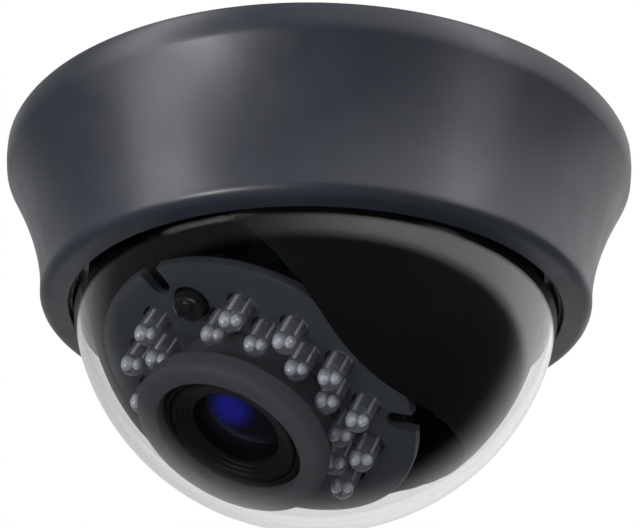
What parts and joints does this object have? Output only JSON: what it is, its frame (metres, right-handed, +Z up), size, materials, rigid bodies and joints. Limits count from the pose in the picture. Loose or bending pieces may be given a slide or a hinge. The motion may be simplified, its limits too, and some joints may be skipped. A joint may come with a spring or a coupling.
{
  "type": "dome security camera",
  "caption": "Ceiling dome camera: flared round housing, clear hemispherical dome, black slotted liner and a varifocal lens in an infra-red LED ring on pan, tilt and roll joints.",
  "frame": {"origin": "centre of the base plate's ceiling face", "axes": "+Z up into the ceiling; the lens looks towards -Y and down; +X is along the tilt axis"},
  "size_m": [0.14, 0.14, 0.0814],
  "materials": {
    "housing_plastic": "moulded charcoal plastic with a satin skin",
    "clear_dome": "clear moulded acrylic, polished",
    "black_plastic": "black moulded plastic, fine matt grain",
    "lens_metal": "black anodised lens tube, fine turned lines",
    "plate_plastic": "dark grey plastic, fine grain",
    "rubber": "soft black rubber, dull",
    "steel": "zinc plated steel",
    "black_steel": "black oxide screws",
    "circuit_board": "green solder mask",
    "natural_nylon": "natural nylon",
    "sensor_package": "dark sensor package",
    "lens_glass": "coated optical glass, violet bloom",
    "led_epoxy": "water-clear epoxy"
  },
  "bodies": {
    "base": {"base_plate": "housing_plastic", "cable_grommet": "rubber", "pan_retainer": "natural_nylon", "power_board": "circuit_board", "board_connector": "natural_nylon"},
    "cover": {"housing_cover": "housing_plastic", "dome_seal": "rubber", "dome_bubble": "clear_dome", "dome_clamp_ring": "black_plastic"},
    "pan": {"pan_table": "black_plastic", "inner_liner": "black_plastic"},
    "tilt": {"tilt_bracket": "black_plastic", "tilt_screw_left": "steel", "tilt_screw_right": "steel"},
    "camera_module": {"module_frame": "black_plastic", "roll_nut": "steel", "led_board": "circuit_board", "led_board_screw_1": "black_steel", "led_board_screw_2": "black_steel", "led_board_screw_3": "black_steel", "sensor_board": "circuit_board", "image_sensor": "sensor_package", "lens_mount": "black_plastic", "ir_cut_filter": "lens_glass", "lens_barrel": "lens_metal", "rear_lens": "lens_glass", "front_lens": "lens_glass", "lens_front_ring": "lens_metal", "led_cover_plate": "plate_plastic", "light_sensor": "sensor_package", "lens_collar": "rubber", "ir_led_01": "led_epoxy", "ir_led_02": "led_epoxy", "ir_led_03": "led_epoxy", "ir_led_04": "led_epoxy", "ir_led_05": "led_epoxy", "ir_led_06": "led_epoxy", "ir_led_07": "led_epoxy", "ir_led_08": "led_epoxy", "ir_led_09": "led_epoxy", "ir_led_10": "led_epoxy", "ir_led_11": "led_epoxy", "ir_led_12": "led_epoxy", "ir_led_13": "led_epoxy", "ir_led_14": "led_epoxy", "ir_led_15": "led_epoxy", "ir_led_16": "led_epoxy", "ir_led_17": "led_epoxy", "ir_led_18": "led_epoxy", "ir_led_19": "led_epoxy", "ir_led_20": "led_epoxy", "ir_led_21": "led_epoxy", "ir_led_22": "led_epoxy", "ir_led_23": "led_epoxy", "ir_led_24": "led_epoxy"},
    "zoom": {"zoom_ring": "black_plastic", "zoom_lock_screw": "steel"},
    "focus": {"focus_ring": "black_plastic", "focus_lock_screw": "steel"}
  },
  "joints": [
    {"name": "cover_twist", "type": "hinge", "parent": "base", "child": "cover", "pos_m": [0, 0, 0], "axis": [0, 0, 1], "range_deg": [0, 15]},
    {"name": "pan", "type": "hinge", "parent": "base", "child": "pan", "pos_m": [0, 0, 0], "axis": [0, 0, 1], "range_deg": [-177.5, 177.5]},
    {"name": "tilt", "type": "hinge", "parent": "pan", "child": "tilt", "pos_m": [0, 0, -0.029], "axis": [1, 0, 0], "range_deg": [-33, 29]},
    {"name": "roll", "type": "hinge", "parent": "tilt", "child": "camera_module", "pos_m": [0, 0, -0.029], "axis": [0, -0.4848, -0.8746], "range_deg": [-175, 175]},
    {"name": "zoom", "type": "hinge", "parent": "camera_module", "child": "zoom", "pos_m": [0, 0, -0.029], "axis": [0, -0.4848, -0.8746], "range_deg": [-35, 35]},
    {"name": "focus", "type": "hinge", "parent": "camera_module", "child": "focus", "pos_m": [0, 0, -0.029], "axis": [0, -0.4848, -0.8746], "range_deg": [-45, 45]}
  ]
}
